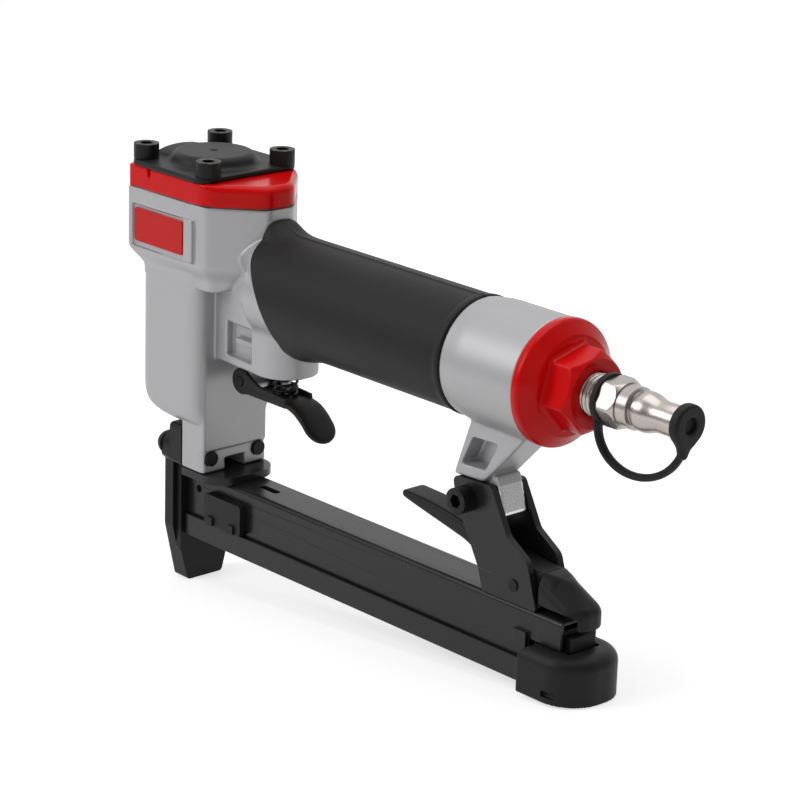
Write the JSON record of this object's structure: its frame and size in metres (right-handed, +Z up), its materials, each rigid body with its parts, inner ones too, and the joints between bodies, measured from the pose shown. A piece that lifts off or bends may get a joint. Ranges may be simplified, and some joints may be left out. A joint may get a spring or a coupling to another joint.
{
  "type": "pneumatic upholstery stapler",
  "caption": "Hand-held pneumatic upholstery stapler with a piston driver, trigger valve, rubber grip, air plug and a bottom-loading sliding staple magazine with a thumb latch.",
  "frame": {"origin": "nose tip: the front wall of the driver slot, in the middle of the nose's underside", "axes": "+X back along the magazine to the air inlet, +Y to the right hand side, +Z up along the driver"},
  "size_m": [0.2384, 0.042, 0.153],
  "materials": {
    "silver_paint": "satin silver paint over a die-cast body",
    "red_paint": "gloss red paint",
    "black_coat": "satin black coating on sheet steel",
    "black_oxide": "black oxide on hardened steel",
    "black_plastic": "black moulded plastic",
    "rubber": "matte black rubber",
    "seal": "black nitrile rubber",
    "nickel": "bright nickel plate",
    "brass": "machined brass",
    "steel": "bright drawn steel",
    "alloy": "turned and anodised aluminium",
    "pale_plastic": "natural acetal",
    "badge": "red printed plate, bare"
  },
  "bodies": {
    "tool_body": {"main_body": "silver_paint", "cylinder_sleeve": "alloy", "sleeve_seals": "seal", "bumper": "rubber", "head_valve_spring": "steel", "cylinder_cap": "red_paint", "cap_gasket": "seal", "top_cover": "black_plastic", "cover_bolts": "black_oxide", "badge_plate": "badge", "front_plate": "black_oxide", "driver_guide": "black_oxide", "nose_screws": "black_oxide", "grip_sleeve": "rubber", "end_cap": "red_paint", "end_cap_seal": "seal", "air_plug": "nickel", "strap_ring": "rubber", "dust_cap_strap": "rubber", "trigger_pin": "steel", "trigger_spring": "steel", "valve_bush": "brass", "valve_bush_seals": "seal", "magazine_channel": "black_coat", "rail_guides": "black_plastic", "magazine_hanger": "black_coat", "mounting_bracket": "black_coat", "bracket_rivets": "black_oxide", "bracket_bolt": "black_oxide", "bracket_nut": "black_oxide", "lever_pin": "black_oxide", "lever_spring": "steel"},
    "trigger": {"trigger": "black_plastic"},
    "valve_stem": {"valve_stem": "steel", "valve_stem_seal": "seal"},
    "piston": {"piston": "alloy", "piston_seal": "seal", "driver_blade": "steel", "driver_pin": "steel"},
    "head_valve": {"head_valve": "pale_plastic", "head_valve_seal": "seal"},
    "drawer": {"staple_rail": "steel", "drawer_tray": "black_coat", "foot": "black_plastic", "foot_pin": "black_oxide", "spring_rod": "steel", "pusher_spring": "steel"},
    "pusher": {"pusher": "steel"},
    "latch": {"latch_lever": "black_plastic"},
    "dust_cap": {"dust_cap": "rubber"}
  },
  "joints": [
    {"name": "trigger_pull", "type": "hinge", "parent": "tool_body", "child": "trigger", "pos_m": [0.0277, 0, 0.0779], "axis": [0, -1, 0], "range_deg": [0, 8.5], "stiffness_Nm_per_rad": 0.4, "springref_deg": -8.59, "deforming": ["trigger_spring"]},
    {"name": "valve_stem_lift", "type": "slide", "parent": "tool_body", "child": "valve_stem", "axis": [0, 0, 1], "range_m": [0, 0.0024]},
    {"name": "piston_stroke", "type": "slide", "parent": "tool_body", "child": "piston", "axis": [0, 0, -1], "range_m": [0, 0.04]},
    {"name": "head_valve_lift", "type": "slide", "parent": "tool_body", "child": "head_valve", "axis": [0, 0, 1], "range_m": [0, 0.003], "stiffness_N_per_m": 400, "springref_m": -0.004, "deforming": ["head_valve_spring"]},
    {"name": "magazine_slide", "type": "slide", "parent": "tool_body", "child": "drawer", "axis": [1, 0, 0], "range_m": [0, 0.12]},
    {"name": "pusher_travel", "type": "slide", "parent": "drawer", "child": "pusher", "axis": [1, 0, 0], "range_m": [0, 0.11], "stiffness_N_per_m": 25, "springref_m": -0.08, "deforming": ["pusher_spring"]},
    {"name": "latch_press", "type": "hinge", "parent": "tool_body", "child": "latch", "pos_m": [0.1614, 0, 0.0468], "axis": [0, -1, 0], "range_deg": [0, 15], "stiffness_Nm_per_rad": 0.5, "springref_deg": -8.59, "deforming": ["lever_spring"]},
    {"name": "dust_cap_swing", "type": "hinge", "parent": "tool_body", "child": "dust_cap", "pos_m": [0.2154, 0, 0.0925], "axis": [0, 1, 0], "range_deg": [0, 100], "deforming": ["dust_cap_strap"]}
  ],
  "couplings": [
    {"joint": "trigger_pull", "follows": "valve_stem_lift", "rad_per_m": 61.35}
  ]
}
